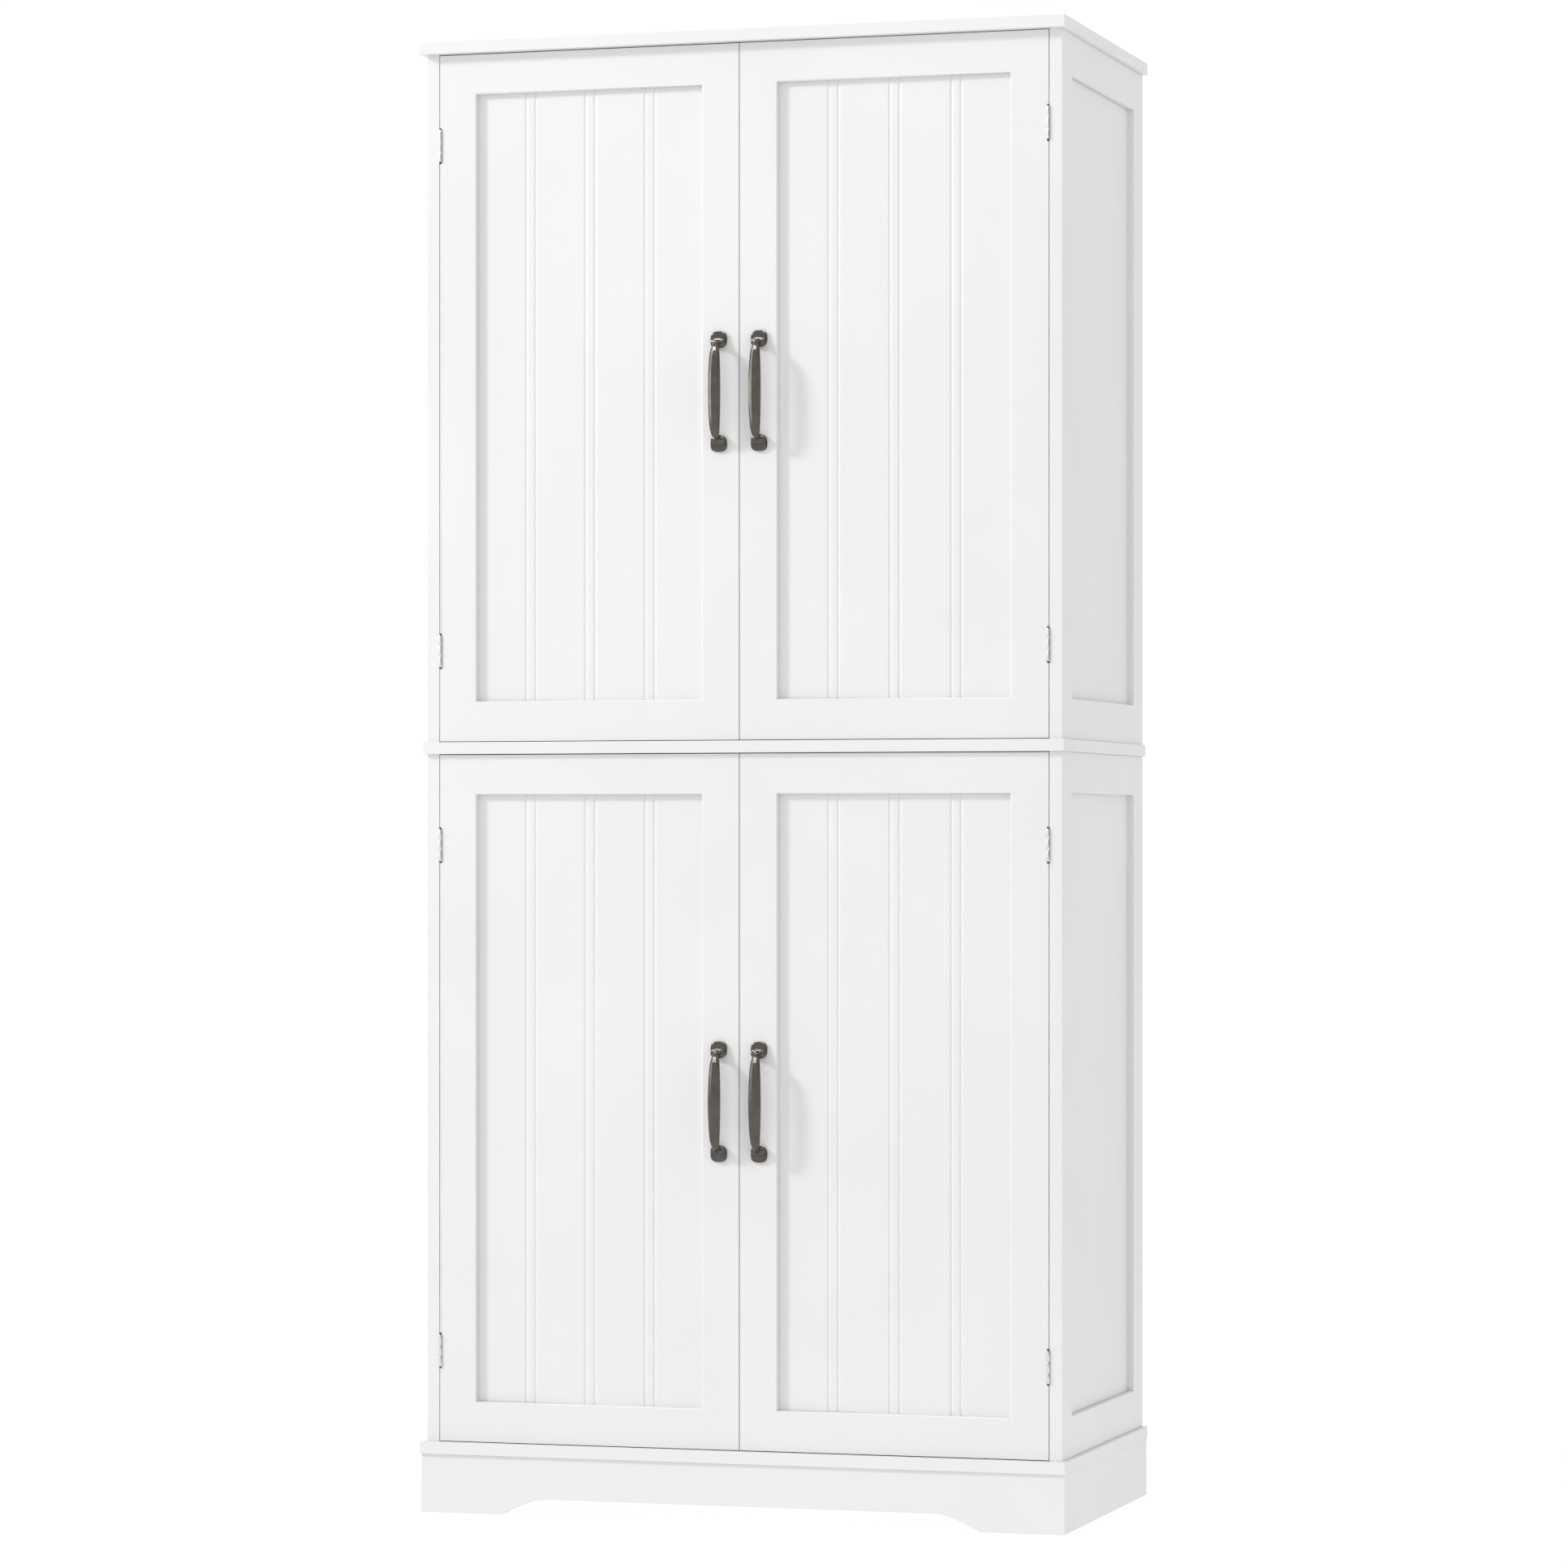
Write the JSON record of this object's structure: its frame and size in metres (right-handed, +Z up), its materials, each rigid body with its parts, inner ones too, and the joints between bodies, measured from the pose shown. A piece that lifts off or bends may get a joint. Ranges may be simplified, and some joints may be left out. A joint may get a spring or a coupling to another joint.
{
  "type": "pantry cabinet",
  "caption": "Tall freestanding pantry cabinet with framed beadboard doors in two stacked compartments, bow handles, adjustable shelves and an arched plinth.",
  "frame": {"origin": "on the floor, under the middle of the overall box (handles included)", "axes": "+Z up, -Y out of the door fronts, +X to the viewer's right when facing the doors"},
  "size_m": [0.832, 0.456, 1.84],
  "materials": {
    "white_lacquer": "satin white lacquer over fibreboard",
    "backboard": "white painted hardboard, slightly dull",
    "handle_bronze": "dark oil-rubbed bronze plating over cast zinc, satin sheen",
    "hinge_nickel": "nickel-plated steel",
    "steel_plate": "zinc-plated steel sheet",
    "catch_plastic": "off-white moulded plastic"
  },
  "bodies": {
    "carcass": {"top_board": "white_lacquer", "mid_board": "white_lacquer", "bottom_board": "white_lacquer", "plinth_front": "white_lacquer", "plinth_left": "white_lacquer", "plinth_right": "white_lacquer", "plinth_rear": "white_lacquer", "side_upper_left_front_post": "white_lacquer", "side_upper_left_panel": "white_lacquer", "side_upper_left_rear_post": "white_lacquer", "side_upper_right_front_post": "white_lacquer", "side_upper_right_panel": "white_lacquer", "side_upper_right_rear_post": "white_lacquer", "side_lower_left_front_post": "white_lacquer", "side_lower_left_panel": "white_lacquer", "side_lower_left_rear_post": "white_lacquer", "side_lower_right_front_post": "white_lacquer", "side_lower_right_panel": "white_lacquer", "side_lower_right_rear_post": "white_lacquer", "back_upper": "backboard", "shelf_upper_low": "white_lacquer", "shelf_upper_high": "white_lacquer", "catch_upper": "catch_plastic", "back_lower": "backboard", "shelf_lower_low": "white_lacquer", "shelf_lower_high": "white_lacquer", "catch_lower": "catch_plastic", "hinge_upper_left_top_frame_leaf": "hinge_nickel", "hinge_upper_left_bottom_frame_leaf": "hinge_nickel", "hinge_upper_right_top_frame_leaf": "hinge_nickel", "hinge_upper_right_bottom_frame_leaf": "hinge_nickel", "hinge_lower_left_top_frame_leaf": "hinge_nickel", "hinge_lower_left_bottom_frame_leaf": "hinge_nickel", "hinge_lower_right_top_frame_leaf": "hinge_nickel", "hinge_lower_right_bottom_frame_leaf": "hinge_nickel"},
    "door_upper_left": {"door_upper_left_frame": "white_lacquer", "door_upper_left_panel": "white_lacquer", "handle_upper_left": "handle_bronze", "strike_upper_left": "steel_plate", "hinge_upper_left_top_door_leaf": "hinge_nickel", "hinge_upper_left_bottom_door_leaf": "hinge_nickel"},
    "door_upper_right": {"door_upper_right_frame": "white_lacquer", "door_upper_right_panel": "white_lacquer", "handle_upper_right": "handle_bronze", "strike_upper_right": "steel_plate", "hinge_upper_right_top_door_leaf": "hinge_nickel", "hinge_upper_right_bottom_door_leaf": "hinge_nickel"},
    "door_lower_left": {"door_lower_left_frame": "white_lacquer", "door_lower_left_panel": "white_lacquer", "handle_lower_left": "handle_bronze", "strike_lower_left": "steel_plate", "hinge_lower_left_top_door_leaf": "hinge_nickel", "hinge_lower_left_bottom_door_leaf": "hinge_nickel"},
    "door_lower_right": {"door_lower_right_frame": "white_lacquer", "door_lower_right_panel": "white_lacquer", "handle_lower_right": "handle_bronze", "strike_lower_right": "steel_plate", "hinge_lower_right_top_door_leaf": "hinge_nickel", "hinge_lower_right_bottom_door_leaf": "hinge_nickel"}
  },
  "joints": [
    {"name": "door_upper_left_hinge", "type": "hinge", "parent": "carcass", "child": "door_upper_left", "pos_m": [-0.39205, -0.2033, 1.3945], "axis": [0, 0, -1], "range_deg": [0, 170]},
    {"name": "door_upper_right_hinge", "type": "hinge", "parent": "carcass", "child": "door_upper_right", "pos_m": [0.39205, -0.2033, 1.3945], "axis": [0, 0, 1], "range_deg": [0, 170]},
    {"name": "door_lower_left_hinge", "type": "hinge", "parent": "carcass", "child": "door_lower_left", "pos_m": [-0.39205, -0.2033, 0.5185], "axis": [0, 0, -1], "range_deg": [0, 170]},
    {"name": "door_lower_right_hinge", "type": "hinge", "parent": "carcass", "child": "door_lower_right", "pos_m": [0.39205, -0.2033, 0.5185], "axis": [0, 0, 1], "range_deg": [0, 170]}
  ]
}
